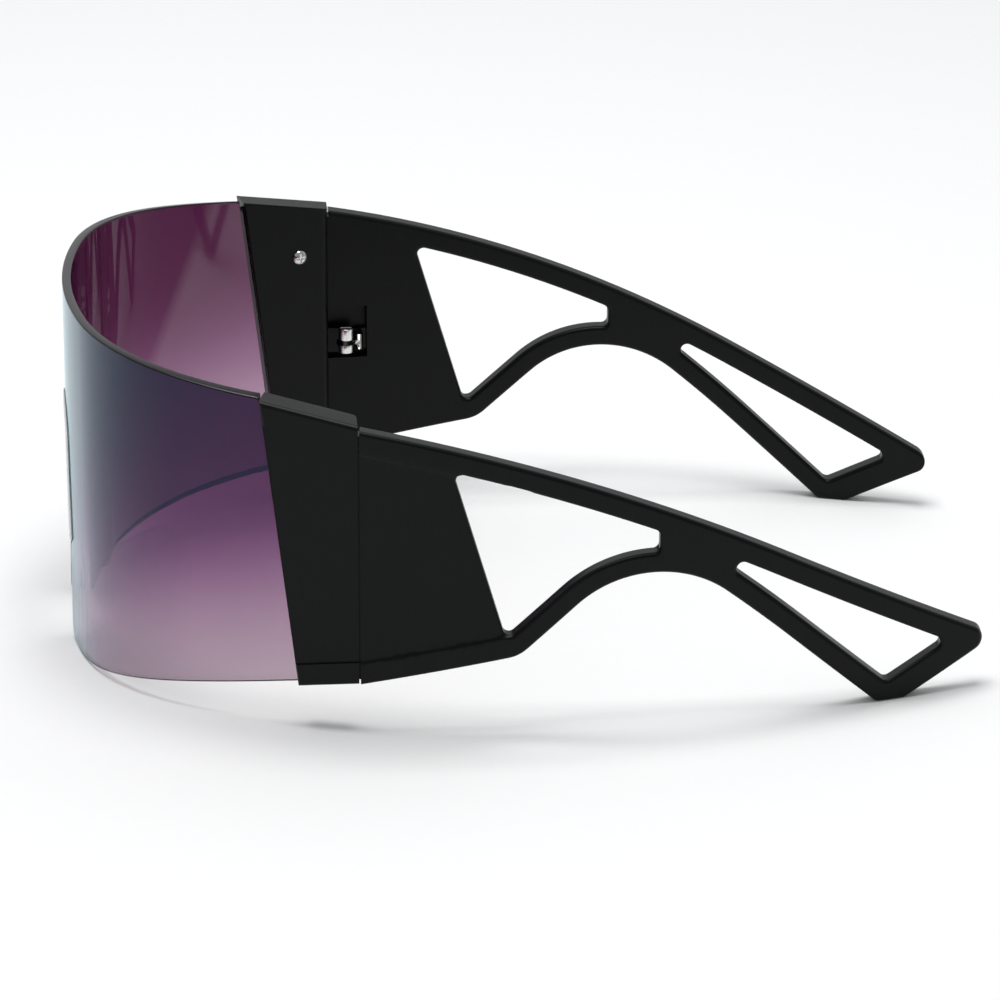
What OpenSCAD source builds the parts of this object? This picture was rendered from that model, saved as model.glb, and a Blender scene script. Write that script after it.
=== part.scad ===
// Shield sunglasses: one bent lens held between two end pieces, with a folding temple on each.
// They stand on a table on the lens's lower edge and on the heels of the open temples.
// The front of the lens faces -Y, the temple tips point to +Y, and the wearer's left is +X.

/* [Lens] */
// Thickness of the lens sheet
lens_t = 2; // [1.6:0.1:2.2]
// Height of the lens at its middle
lens_h = 77.5; // [75:0.5:80]
// How far the lens's top edge falls on its way to the end pieces
lens_top_drop = 6; // [5.5:0.1:6.5]
// How far the lens's lower edge rises on its way to the end pieces
lens_low_rise = 9.7; // [8.2:0.1:10.4]
// Distance of the middle of the lens in front of the seams
lens_reach = 59.1; // [56:0.1:62]
// Outer radius of the nearly flat middle of the lens
middle_radius = 111; // [95:1:125]
// Outer radius of the lens close to the end pieces
end_radius = 70; // [60:1:80]
// Half the width of the level stretch at each side of the nose, measured from the middle
low_level_x = 20; // [18:0.5:22]
// Height of the nose cut-out
nose_cut_h = 48.5; // [44:0.5:52]
// Radius of the top of the nose cut-out
nose_cut_r = 6.5; // [5.5:0.5:8]
// Half the width of the nose cut-out at the lens's lower edge
nose_cut_half_w = 12; // [11:0.5:13]

/* [Nose piece] */
// Thickness of each lip of the nose piece over the lens
nose_lip_t = 0.9; // [0.7:0.1:1.2]
// How far the lips reach over the lens
nose_lip_w = 3.6; // [2.6:0.2:4.4]
// Thickness of the nose piece inside the cut-out
nose_edge_t = 1.2; // [1:0.1:1.6]
// Height at which the legs of the nose piece end
nose_leg_z = 14.6; // [12:0.2:18]
// Height of each nose pad
pad_h = 19; // [16:1:21]
// Depth of each nose pad behind the lens
pad_reach = 8; // [6:0.5:10]
// Thickness of each nose pad
pad_t = 1.3; // [1:0.1:1.6]

/* [End pieces] */
// Half the width over the outer faces at the seams
seam_half_w = 71.2; // [68:0.2:74]
// Thickness of the end piece
end_t = 6.4; // [6.2:0.1:7]
// Length of the end piece along its top edge
end_top_len = 21.4; // [20:0.2:23]
// Length of the end piece along its lower edge
end_low_len = 13.5; // [12:0.2:15]
// Height of the top rear corner
end_top_z = 69; // [67:0.5:70]
// Height of the lower rear corner
end_low_z = 11.2; // [10:0.2:12.4]
// How far the top edge climbs from the seam to the front corner
end_top_climb = 4; // [3:0.2:5]
// How far the lower edge falls from the seam to the front corner
end_low_fall = 1.6; // [1:0.2:2.4]
// Depth of the lens's outer face below the outer face of the end piece
lens_cover = 3.4; // [3.3:0.05:3.6]
// Depth of the plain panel below the rails
panel_sink = 0.5; // [0.3:0.1:0.7]
// Height of the rails of the end piece
end_rail_h = 5; // [4:0.2:6]

/* [Temples] */
// Length of the temple behind the seam
temple_len = 133.6; // [130:0.2:138]
// Thickness of the temple
temple_t = 4.2; // [4:0.1:4.6]
// Width of the rails
rail_w = 4.5; // [4:0.1:4.9]
// Radius of the plan curve of the temple
temple_plan_radius = 300; // [290:5:340]
// Radius of the top rail where it bends down
top_rail_radius = 322; // [310:2:340]
// Height of the middle of the top rail at the seam
top_rail_z = 65.4; // [64.6:0.2:65.8]
// Height of the middle of the lower rail at the seam
low_rail_z = 13.7; // [13.5:0.1:14.5]
// Length of the lower rail up to the knee behind the front plate
low_rail_len = 31.2; // [30:0.2:33]
// Radius of the arch
arch_radius = 26.6; // [25:0.2:28]
// Width of the slanted bar at the end
end_bar_w = 5.8; // [5:0.2:6.4]
// Radius of the rounded tip
tip_r = 2.5; // [2:0.1:3]

/* [Hinges] */
// Distance of the hinge axis behind the seam
hinge_back = 3.9; // [3.5:0.1:4.5]
// Radius of the barrels
barrel_r = 1.7; // [1.5:0.05:1.8]
// Height of the upper barrel
upper_barrel_h = 2.7; // [2.3:0.1:3]
// Height of the tongue between the barrels
tongue_h = 1; // [0.8:0.1:1.3]
// Height of the lower barrel
lower_barrel_h = 1.9; // [1.6:0.1:2.2]
// Height of the middle of the tongue above the table
hinge_z = 37; // [35:0.5:39]
// Thickness of the hinge leaves
leaf_t = 1.2; // [1:0.1:1.3]
// Radius of the hinge screw
pin_r = 0.7; // [0.6:0.05:0.8]
// Height of the hinge pocket in the temple
pocket_h = 12.2; // [11:0.2:13]
// Length of the hinge pocket behind the seam
pocket_len = 10.2; // [9.6:0.2:11]
// Depth of the hinge pocket
pocket_deep = 2.2; // [2:0.1:2.4]

/* [Lens screws] */
// Radius of the screw shank
screw_r = 0.95; // [0.8:0.05:1]
// Radius of the screw head
screw_head_r = 1.6; // [1.4:0.1:1.9]
// Height of the screw head
screw_head_h = 1; // [0.8:0.1:1.2]
// Distance of the screws in front of the seam, along the end piece
screw_back = 8.5; // [7.9:0.1:8.8]
// How far the upper screw lies below the top of the lens
upper_screw_drop = 18.8; // [17.6:0.2:20.4]
// Height of the lower screw
lower_screw_z = 20; // [19:0.5:22]
// Outer radius of the brass inserts
insert_r = 1.55; // [1.45:0.05:1.7]
// Length of the brass inserts
insert_len = 1.8; // [1.5:0.1:1.9]

/* [Hidden] */
$fn = 96;

// Colours of the pieces
lens_colour = [0.42, 0.25, 0.42, 0.7];
clear_colour = [0.85, 0.87, 0.88, 0.6];
black_colour = [0.09, 0.1, 0.1];
steel_colour = [0.75, 0.75, 0.77];
brass_colour = [0.72, 0.58, 0.3];

// Angles of the lens's plan, which together with the wrap turn it through a right angle
wrap = 15.7;
middle_turn = 13.4;
corner_turn = 42.4;
end_turn = 90 - wrap - middle_turn - corner_turn;
// Lean of the lens, whose lower edge lies further back than its top edge
lens_lean = 1.5;
// Gap at the seams, and running and seating clearances
seam_gap = 0.3;
slot_play = 0.08;
seat_play = 0.03;
pin_play = 0.04;
hole_play = 0.12;
tongue_play = 0.05;
barrel_play = 0.4;
// Overrun of every cut
over = 1;
// Wall of plastic between two cuts inside the end pieces
slot_wall = 1.6;

// The lens: plan, from the middle of its front towards the left end piece
wall_dir = [sin(wrap), cos(wrap)];
wall_out = [cos(wrap), -sin(wrap)];
// Reach of one arc towards the outer side of the end piece, per unit of its radius
function arc_reach(from, turn) = (sin(from + turn) - sin(from)) * wall_out[0]
    + (cos(from) - cos(from + turn)) * wall_out[1];
corner_radius = (seam_half_w * wall_out[0] + lens_reach * wall_out[1] - lens_cover
    - middle_radius * arc_reach(0, middle_turn)
    - end_radius * arc_reach(middle_turn + corner_turn, end_turn)) / arc_reach(middle_turn, corner_turn);
// Plan states along an arc of n steps, each [x, y, heading] with the heading counted from +X
function plan_arc(s, r, turn, n) = [for (k = [0:n]) let (h = s[2] + turn * k / n)
    [s[0] + r * (sin(h) - sin(s[2])), s[1] + r * (cos(s[2]) - cos(h)), h]];
function last(states) = states[len(states) - 1];
function rest(states) = [for (i = [1:len(states) - 1]) states[i]];
function turned_over(states) = [for (i = [len(states) - 1:-1:0]) [-states[i][0], states[i][1], -states[i][2]]];
middle_arc = plan_arc([0, 0, 0], middle_radius, middle_turn, 6);
corner_arc = plan_arc(last(middle_arc), corner_radius, corner_turn, 20);
end_arc = plan_arc(last(corner_arc), end_radius, end_turn, 8);
lens_mid_z = lens_h / 2;
// The straight tab ends inside the end piece, short of the seam
tab_stop = 4.5;
arc_end = last(end_arc);
tab_run = (seam_half_w - arc_end[0]) * wall_dir[0] + (lens_reach - arc_end[1]) * wall_dir[1] - tab_stop;
function tab_state(run) = [arc_end[0] + run * wall_dir[0], arc_end[1] + run * wall_dir[1], 90 - wrap];
half_states = concat(rest(middle_arc), rest(corner_arc), rest(end_arc), [tab_state(tab_run)]);
lens_states = concat(turned_over(half_states), [[0, 0, 0]], half_states);
middle_states = concat(turned_over(rest(middle_arc)), middle_arc);
end_states = concat(end_arc, [tab_state(tab_run + slot_wall)]);

// The lens: front outline
top_end_x = seam_half_w - end_top_len * sin(wrap);
low_end_x = seam_half_w - lens_cover * cos(wrap) - end_low_len * sin(wrap);
top_power = 4;
low_power = 1.9;
top_steps = 28;
low_steps = 10;
nose_corner_r = 4;
leg_tilt = atan((nose_cut_half_w - nose_cut_r) / (nose_cut_h - nose_cut_r));
function lens_top_z(x) = lens_h - lens_top_drop * pow(abs(x) / top_end_x, top_power);
function lens_low_z(x) = lens_low_rise * pow(max(0, abs(x) - low_level_x) / (low_end_x - low_level_x), low_power);

// Where the whole part stands: its box is centred on Y
seam_y = lens_reach;
nose_reach = max(lens_mid_z * tan(lens_lean), (nose_lip_t + seat_play) / cos(lens_lean)
    + (nose_cut_h + nose_lip_w - lens_mid_z) * tan(lens_lean));
place_y = (nose_reach - seam_y - temple_len) / 2;

// Splay of the nose pads towards the face
pad_splay = 25;

// The screws and inserts, along X in the frame of the end piece
insert_sink = 0.4;
insert_end_x = insert_sink + insert_len - lens_cover;
screw_tip_gap = 0.2;
upper_screw_z = lens_h - upper_screw_drop;
// Sizes of the domed head and its cross recess, as shares of the head's radius
dome_share = 1.3;
cross_len_share = 1.3;
cross_w_share = 0.3;

// The end piece, in its own frame, where Y is zero at the seam and X is zero on the outer face
end_edge_r = 1;
end_inner_edge_r = 0.4;
end_rear_r = 2;
end_front_z = end_low_z - end_low_fall;
end_top_angle = atan(end_top_climb / end_top_len);
end_low_angle = atan(end_low_fall / end_low_len);
end_front_angle = atan((end_top_len - end_low_len) / (end_top_z + end_top_climb - end_front_z));
function end_front_y(z) = -end_low_len - (z - end_front_z) * tan(end_front_angle);
function tab_top_z(y) = end_top_z - slot_wall - y * tan(end_top_angle);
function tab_low_z(y) = end_low_z + slot_wall + y * tan(end_low_angle);

// The hinge: heights and plan places, with X and Y counted from the axis of the hinge,
// which lies a little inside the inner face of the temple
axis_inset = 0.2;
hinge_x = seam_half_w - temple_t - axis_inset;
hinge_y = seam_y + hinge_back;
slot_top_z = hinge_z + tongue_h / 2 + tongue_play;
slot_low_z = hinge_z - tongue_h / 2 - tongue_play;
hinge_top_z = slot_top_z + upper_barrel_h;
hinge_low_z = slot_low_z - lower_barrel_h;
hinge_h = hinge_top_z - hinge_low_z;
pin_head_r = 1.25;
pin_head_h = 0.7;
driver_slot_w = 0.4;
driver_slot_deep = 0.3;
front_leaf_x = -0.3;
front_leaf_run = 6;
anchor_len = 1.6;
anchor_wing = 0.8;
temple_leaf_run = 5.6;
temple_leaf_h = 4.8;
root_len = 1.7;
root_h = 3.5;
root_gap = 0.45;
tongue_w = 2.2;
hinge_cut_h = hinge_h + 2 * (anchor_wing + slot_wall);
hinge_cut_z = (hinge_top_z + hinge_low_z) / 2;
hinge_cut_back = front_leaf_run * cos(wrap) + slot_wall
    + (seam_half_w - hinge_x - front_leaf_x) * sin(wrap);

// The temple: side view, with Y counted from the seam. A state is [y, z, heading].
function turned(s, r, a) = [s[0] + r * (sin(s[2] + a) - sin(s[2])),
    s[1] - r * (cos(s[2] + a) - cos(s[2])), s[2] + a];
function moved(s, run) = [s[0] + run * cos(s[2]), s[1] + run * sin(s[2]), s[2]];
function arc_states(s, r, a, n) = [for (k = [1:n]) turned(s, r * sign(a), a * k / n)];
top_angle = -11.2;
top_turn = -17;
low_angle = 10.4;
knee_turn = 31.8;
knee_radius = 6;
low_rise_len = 14.2;
arch_turn = -84;
lead_in = 6;
top_seam = [0, top_rail_z, top_angle];
top_bend = arc_states(top_seam, top_rail_radius, top_turn, 6);
// The tip is a circle that touches the upper edge of the top rail and the lower edge of the end bar
tail_heading = top_angle + top_turn;
tip_y = temple_len - tip_r;
tail_run = (tip_y - last(top_bend)[0] + (rail_w / 2 - tip_r) * sin(tail_heading)) / cos(tail_heading);
top_end = moved(last(top_bend), tail_run);
tip_z = top_end[1] + (rail_w / 2 - tip_r) * cos(tail_heading);
top_states = concat([moved(top_seam, -lead_in), top_seam], top_bend, [top_end]);
low_seam = [0, low_rail_z, low_angle];
low_knee = moved(low_seam, low_rail_len);
low_climb = arc_states(low_knee, knee_radius, knee_turn, 2);
low_arch = arc_states(moved(last(low_climb), low_rise_len), arch_radius, arch_turn, 10);
arch_end = last(low_arch);
low_end = moved(arch_end, (arch_end[1] + rail_w) / sin(-arch_end[2]));
low_states = concat([moved(low_seam, -lead_in), low_knee], low_climb, low_arch, [low_end]);
// The heel is flat between the lower rail and the end bar
heel_flat = 6;
heel_y = arch_end[0] + (arch_end[1] - rail_w / 2 / cos(arch_end[2])) / tan(-arch_end[2]) + heel_flat;
heel_to_tip = norm([tip_y - heel_y, tip_z]);
end_bar_angle = atan(tip_z / (tip_y - heel_y)) - asin(tip_r / heel_to_tip);
end_bar_len = sqrt(pow(heel_to_tip, 2) - pow(tip_r, 2));
heel_back = 4;
end_bar_start = [heel_y - end_bar_w / 2 * sin(end_bar_angle), end_bar_w / 2 * cos(end_bar_angle),
    end_bar_angle];
// Front plate and junction web, by places on the rails
plate_top_y = 18.5;
plate_low_y = 31.2;
web_front_y = 64.4;
web_back_y = 78.2;
fillet_r = 1.4;
// Height of the middle of a rail at a given place
function rail_z(states, y) = lookup(y, [for (s = states) [s[0], s[1]]]);
// Plan of the temple: an arc that starts outwards and curves in
temple_turn = 5.5;
plan_centre = [seam_half_w - temple_plan_radius * cos(temple_turn),
    seam_y + temple_plan_radius * sin(temple_turn)];
pocket_low_z = hinge_z - pocket_h / 3;
// The hinge in the frame of the temple: its axis, its root and the floor of the pocket
axis_x = (hinge_x - seam_half_w) * cos(temple_turn) - hinge_back * sin(temple_turn);
axis_y = (hinge_x - seam_half_w) * sin(temple_turn) + hinge_back * cos(temple_turn);
root_y = axis_y + barrel_r + root_gap;
floor_x = pocket_deep - temple_t;

// Stands a piece with the whole part on the table, centred on the origin
module placed() {
    translate([0, place_y, 0]) children();
}

// Takes a piece of the left side to the right side
module other_side() {
    mirror([1, 0, 0]) children();
}

// Both sides of a thing that the middle plane mirrors
module both_sides() {
    children();
    mirror([1, 0, 0]) children();
}

// Frame of the left end piece: Y runs back along the wall to the seam and X points outward
module on_wall() {
    translate([seam_half_w, seam_y, 0]) rotate([0, 0, -wrap]) children();
}

// Frame of the left temple: Y runs back along the first stretch of the temple and X points outward
module on_temple() {
    translate([seam_half_w, seam_y, 0]) rotate([0, 0, -temple_turn]) children();
}

// Turns a drawing of (Y, Z) into a slab from x_0 to x_1
module side_slab(x_0, x_1) {
    translate([x_0, 0, 0]) rotate([90, 0, 90]) linear_extrude(height = x_1 - x_0) children();
}

// Turns a drawing of (X, Z) into a slab from y_0 to y_1
module front_slab(y_0, y_1) {
    translate([0, y_1, 0]) rotate([90, 0, 0]) linear_extrude(height = y_1 - y_0) children();
}

// Turns a drawing of (X, Y) into a slab from z_0 to z_1
module flat_slab(z_0, z_1) {
    translate([0, 0, z_0]) linear_extrude(height = z_1 - z_0) children();
}

// A round bar along X from x_0 to x_1
module pin_x(r, x_0, x_1) {
    translate([x_0, 0, 0]) rotate([0, 90, 0]) cylinder(r = r, h = x_1 - x_0);
}

// Leans what belongs to the lens about its middle height
module leaned() {
    translate([0, 0, lens_mid_z]) rotate([lens_lean, 0, 0]) translate([0, 0, -lens_mid_z]) children();
}

// A tall wall along plan states, from reach_out in front of the lens's outer face to reach_in behind it
module tall_wall(states, reach_out, reach_in) {
    flat_slab(-lens_h, 2 * lens_h) polygon(concat(
        [for (s = states) [s[0] + reach_out * sin(s[2]), s[1] - reach_out * cos(s[2])]],
        [for (i = [len(states) - 1:-1:0]) let (s = states[i])
            [s[0] - reach_in * sin(s[2]), s[1] + reach_in * cos(s[2])]]));
}

// Side view of the tab, notched for the hinge, in the frame of the end piece
module tab_outline(grow) {
    front = -2 * end_top_len;
    rear = grow - tab_stop;
    notch_rear = grow - hinge_cut_back;
    notch_low_z = hinge_cut_z - hinge_cut_h / 2 + grow;
    notch_top_z = hinge_cut_z + hinge_cut_h / 2 - grow;
    polygon([[front, tab_low_z(front) - grow], [rear, tab_low_z(rear) - grow], [rear, notch_low_z],
        [notch_rear, notch_low_z], [notch_rear, notch_top_z], [rear, notch_top_z],
        [rear, tab_top_z(rear) + grow], [front, tab_top_z(front) + grow]]);
}

// Side view of all that lies behind the mouth of the end piece but is not the tab
module off_tab() {
    room = seam_gap / 3;
    difference() {
        polygon([[end_front_y(-lens_h) - room, -lens_h], [end_top_len, -lens_h],
            [end_top_len, 2 * lens_h], [end_front_y(2 * lens_h) - room, 2 * lens_h]]);
        tab_outline(0);
    }
}

// Front view of the lens before the nose is cut out
module lens_front() {
    polygon(concat(
        [for (i = [0:top_steps]) let (x = seam_half_w * (1 - 2 * i / top_steps)) [x, lens_top_z(x)]],
        [for (i = [low_steps:-1:0]) let (x = low_level_x + (seam_half_w - low_level_x) * i / low_steps)
            [-x, lens_low_z(x)]],
        [for (i = [0:low_steps]) let (x = low_level_x + (seam_half_w - low_level_x) * i / low_steps)
            [x, lens_low_z(x)]]));
}

// Front view of the nose cut-out, made wider by grow
module nose_cut(grow) {
    c_z = nose_cut_h - nose_cut_r;
    r = nose_cut_r + grow;
    side_x = r * cos(leg_tilt);
    side_z = c_z + r * sin(leg_tilt);
    low_x = side_x + (side_z + nose_corner_r) * tan(leg_tilt);
    translate([0, c_z]) circle(r);
    polygon([[side_x, side_z], [low_x, -nose_corner_r], [-low_x, -nose_corner_r], [-side_x, side_z]]);
}

// Front view of what rounds the lens's lower corner beside the nose
module nose_corner() {
    low_x = nose_cut_r * cos(leg_tilt) + (nose_cut_h - nose_cut_r * (1 - sin(leg_tilt))) * tan(leg_tilt);
    c_x = low_x + nose_corner_r * (1 - sin(leg_tilt)) / cos(leg_tilt);
    touch = [c_x - nose_corner_r * cos(leg_tilt), nose_corner_r * (1 - sin(leg_tilt))];
    difference() {
        polygon([[c_x, nose_corner_r], [c_x, -over], [low_x - over, -over], [touch[0] - over, touch[1]],
            touch]);
        translate([c_x, nose_corner_r]) circle(nose_corner_r);
    }
}

// The lens: one bent sheet with a tab at each end, cut out for the nose
module lens() {
    color(lens_colour) placed() difference() {
        intersection() {
            leaned() tall_wall(lens_states, 0, lens_t);
            front_slab(-lens_reach, 2 * lens_reach) difference() {
                lens_front();
                nose_cut(0);
                nose_corner();
                mirror([1, 0]) nose_corner();
            }
        }
        both_sides() on_wall() {
            side_slab(-2 * end_t, end_t) off_tab();
            screw_places() pin_x(screw_r + hole_play, -2 * end_t, end_t);
        }
    }
}

// The nose piece: a clear saddle that grips the edge of the cut-out and carries two pads
module nose_piece() {
    color(clear_colour) placed() {
        saddle_part(nose_lip_w, seat_play + nose_lip_t, -seat_play);
        saddle_part(nose_lip_w, -lens_t - seat_play, lens_t + seat_play + nose_lip_t);
        saddle_part(-seat_play, seat_play + nose_lip_t / 2, lens_t + seat_play + nose_lip_t / 2);
        both_sides() nose_pad();
    }
}

// One layer of the saddle: its width over the lens and its reach in front of and behind the outer face
module saddle_part(width, reach_out, reach_in) {
    intersection() {
        leaned() tall_wall(middle_states, reach_out, reach_in);
        front_slab(-lens_reach, lens_reach) difference() {
            nose_cut(width);
            nose_cut(-nose_edge_t);
            translate([-lens_reach, -lens_h]) square([2 * lens_reach, lens_h + nose_leg_z]);
        }
    }
}

// One nose pad, standing on the rear lip and turned out towards the side of the nose
module nose_pad() {
    pad_z = nose_leg_z + pad_h / 2;
    pad_x = nose_cut_half_w - nose_edge_t / 2 - pad_z * tan(leg_tilt);
    pad_y = middle_radius - sqrt(pow(middle_radius, 2) - pow(pad_x, 2)) + lens_t
        + (lens_mid_z - pad_z) * tan(lens_lean) + nose_lip_t / 2;
    corner_r = pad_reach / 2;
    translate([pad_x, pad_y, pad_z]) rotate([0, -leg_tilt, 0]) rotate([0, 0, -pad_splay])
        side_slab(-pad_t / 2, pad_t / 2) {
            translate([0, -pad_h / 2]) square([pad_reach - corner_r, pad_h]);
            translate([0, corner_r - pad_h / 2]) square([pad_reach, pad_h - 2 * corner_r]);
            for (side = [-1, 1])
                translate([pad_reach - corner_r, side * (pad_h / 2 - corner_r)]) circle(corner_r);
        }
}

// Places of the two lens screws of the left side, in the frame of the end piece
module screw_places() {
    for (z = [lower_screw_z, upper_screw_z])
        translate([0, -screw_back, z]) children();
}

// A deep bar along Y whose upper face is at Z zero, with rounded upper edges
module edge_bar() {
    front_slab(-2 * lens_h, 2 * lens_h) {
        translate([-end_t, -2 * lens_h]) square([end_t, 2 * lens_h - end_edge_r]);
        translate([end_inner_edge_r - end_t, -lens_h])
            square([end_t - end_edge_r - end_inner_edge_r, lens_h]);
        translate([-end_t, -end_edge_r - over]) square([end_t / 2, end_edge_r + over - end_inner_edge_r]);
        translate([-end_edge_r, -end_edge_r]) circle(end_edge_r);
        translate([end_inner_edge_r - end_t, -end_inner_edge_r]) circle(end_inner_edge_r);
    }
}

// Plan view of what rounds the inner rear corner of the end piece
module rear_corner() {
    butt_y = seam_y - seam_gap / 2;
    c_y = butt_y - end_rear_r;
    c_x = seam_half_w + (end_rear_r - end_t + (c_y - seam_y) * sin(wrap)) / cos(wrap);
    touch = [c_x, c_y] - end_rear_r * wall_out;
    difference() {
        polygon([[c_x, c_y], [c_x, butt_y + over], [c_x - 2 * end_rear_r, butt_y + over],
            touch - over * wall_out, touch]);
        translate([c_x, c_y]) circle(end_rear_r);
    }
}

// The left end piece: a rounded block with a slot for the tab and a seat for the hinge leaf
module end_piece() {
    difference() {
        on_wall() intersection() {
            translate([0, 0, end_top_z]) rotate([-end_top_angle, 0, 0]) edge_bar();
            translate([0, 0, end_low_z]) mirror([0, 0, 1]) rotate([-end_low_angle, 0, 0]) edge_bar();
            translate([0, -end_low_len, end_front_z]) rotate([90 + end_front_angle, 0, 0]) edge_bar();
        }
        translate([0, seam_y - seam_gap / 2, -lens_h]) cube([2 * seam_half_w, 2 * lens_h, 3 * lens_h]);
        flat_slab(-lens_h, 2 * lens_h) rear_corner();
        on_wall() side_slab(-panel_sink, over) panel_outline();
        intersection() {
            leaned() tall_wall(end_states, slot_play, lens_t + slot_play);
            on_wall() side_slab(-2 * end_t, end_t) tab_outline(slot_play);
        }
        on_wall() screw_places() {
            pin_x(screw_r + hole_play, -end_t - over, -lens_cover);
            pin_x(insert_r + seat_play, -lens_cover - lens_t / 2, insert_end_x);
        }
        front_leaf_plate(seat_play);
    }
}

// Side view of the plain panel between the rails of the end piece
module panel_outline() {
    front = -2 * end_top_len;
    polygon([[end_top_len, end_low_z + end_rail_h + end_top_len * tan(end_low_angle)],
        [end_top_len, end_top_z - end_rail_h - end_top_len * tan(end_top_angle)],
        [front, end_top_z - end_rail_h - front * tan(end_top_angle)],
        [front, end_low_z + end_rail_h + front * tan(end_low_angle)]]);
}

// One lens screw, with its head on the inner face of the end piece
module lens_screw() {
    dome_r = dome_share * screw_head_r;
    cross_w = cross_w_share * screw_head_r;
    cross_len = cross_len_share * screw_head_r;
    pin_x(screw_r, -end_t, insert_end_x - screw_tip_gap);
    difference() {
        intersection() {
            pin_x(screw_head_r, -end_t - screw_head_h, -end_t);
            translate([dome_r - end_t - screw_head_h, 0, 0]) sphere(dome_r);
        }
        for (turn = [0, 90])
            translate([-end_t - screw_head_h, 0, 0]) rotate([turn, 0, 0])
                cube([screw_head_h, cross_w, cross_len], center = true);
    }
}

module lens_screws() {
    on_wall() screw_places() lens_screw();
}

// The threaded inserts, drawn without their threads
module screw_inserts() {
    on_wall() screw_places() difference() {
        pin_x(insert_r, insert_end_x - insert_len, insert_end_x);
        pin_x(screw_r + seat_play, -end_t, end_t);
    }
}

// Vertical round bar on the axis of the left hinge
module on_axis(r, z_0, z_1) {
    translate([hinge_x, hinge_y, z_0]) cylinder(r = r, h = z_1 - z_0);
}

// The plate of the front leaf, from the barrels to the anchor inside the end piece
module front_leaf_plate(grow) {
    translate([hinge_x - front_leaf_x, seam_y, 0]) side_slab(-leaf_t / 2 - grow, leaf_t / 2 + grow) {
        translate([-front_leaf_run - grow, hinge_low_z - grow])
            square([front_leaf_run + hinge_back + grow, hinge_h + 2 * grow]);
        translate([-front_leaf_run - grow, hinge_low_z - anchor_wing - grow])
            square([anchor_len + 2 * grow, hinge_h + 2 * anchor_wing + 2 * grow]);
    }
}

// The front leaf: two barrels on a plate that is moulded into the end piece
module front_hinge_leaf() {
    difference() {
        union() {
            front_leaf_plate(0);
            on_axis(barrel_r, hinge_low_z, hinge_top_z);
        }
        on_axis(barrel_r + barrel_play, slot_low_z, slot_top_z);
        on_axis(pin_r + pin_play, hinge_low_z - over, hinge_top_z + over);
        on_axis(pin_head_r + pin_play, hinge_top_z - pin_head_h, hinge_top_z + over);
    }
}

// The hinge screw: its head is sunk into the upper barrel
module hinge_screw() {
    difference() {
        union() {
            on_axis(pin_r, hinge_low_z, hinge_top_z);
            on_axis(pin_head_r, hinge_top_z - pin_head_h, hinge_top_z);
        }
        translate([hinge_x, hinge_y, hinge_top_z])
            cube([driver_slot_w, 3 * pin_head_r, 2 * driver_slot_deep], center = true);
    }
}

// The plate of the temple leaf, from its root on the pocket floor to the anchor in the temple
module temple_leaf_plate(grow) {
    rear = pocket_len + temple_leaf_run + grow;
    on_temple() side_slab(floor_x - leaf_t - grow, floor_x + grow) {
        translate([root_y, hinge_z - temple_leaf_h / 2 - grow])
            square([rear - root_y, temple_leaf_h + 2 * grow]);
        translate([rear - anchor_len - 2 * grow, hinge_z - temple_leaf_h / 2 - anchor_wing - grow])
            square([anchor_len + 2 * grow, temple_leaf_h + 2 * anchor_wing + 2 * grow]);
    }
}

// The temple leaf: a tongue between the barrels, a root and a plate
module temple_hinge_leaf() {
    temple_leaf_plate(0);
    on_temple() flat_slab(hinge_z - root_h / 2, hinge_z + root_h / 2) {
        translate([axis_x, root_y + root_len / 2]) circle(root_len / 2);
        translate([axis_x, root_y]) square([floor_x - leaf_t / 2 - axis_x, root_len]);
    }
    difference() {
        union() {
            on_axis(barrel_r, hinge_z - tongue_h / 2, hinge_z + tongue_h / 2);
            on_temple() flat_slab(hinge_z - tongue_h / 2, hinge_z + tongue_h / 2)
                translate([axis_x - tongue_w / 2, axis_y])
                    square([tongue_w, root_y + root_len / 2 - axis_y]);
        }
        on_axis(pin_r + pin_play, hinge_low_z, hinge_top_z);
    }
}

// Side view of a bar of width w along a list of states
module bar(states, w) {
    polygon(concat(
        [for (s = states) [s[0] - w / 2 * sin(s[2]), s[1] + w / 2 * cos(s[2])]],
        [for (i = [len(states) - 1:-1:0]) let (s = states[i])
            [s[0] + w / 2 * sin(s[2]), s[1] - w / 2 * cos(s[2])]]));
}

// Side view of the rails: top rail, lower rail with its arch, end bar and the web where the rails meet
module rails_outline() {
    bar(top_states, rail_w);
    bar(low_states, rail_w);
    bar([moved(end_bar_start, -heel_back), moved(end_bar_start, end_bar_len)], end_bar_w);
    translate([tip_y, tip_z]) circle(tip_r, $fn = 24);
    between_rails(web_front_y, web_front_y, web_back_y, web_back_y);
}

// Side view of the area between the rails, from one pair of places to another
module between_rails(front_low, front_top, rear_top, rear_low) {
    polygon([[front_low, rail_z(low_states, front_low)], [front_top, rail_z(top_states, front_top)],
        [rear_top, rail_z(top_states, rear_top)], [rear_low, rail_z(low_states, rear_low)]]);
}

// Rounds the inner corners of a side view and keeps it above the table
module filleted() {
    room = 2 * temple_len;
    intersection() {
        offset(r = -fillet_r, $fn = 24) offset(delta = fillet_r) children();
        polygon([[-seam_gap, 0], [heel_y, 0],
            [heel_y + room * cos(end_bar_angle), room * sin(end_bar_angle)], [-seam_gap, room]]);
    }
}

// Side view of the plain plate between the rails, open towards the seam and the first window
module plate_outline() {
    offset(r = fillet_r, $fn = 24) offset(delta = -fillet_r) difference() {
        between_rails(-lead_in, -lead_in, plate_top_y + lead_in, plate_low_y + lead_in);
        rails_outline();
    }
}

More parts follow.
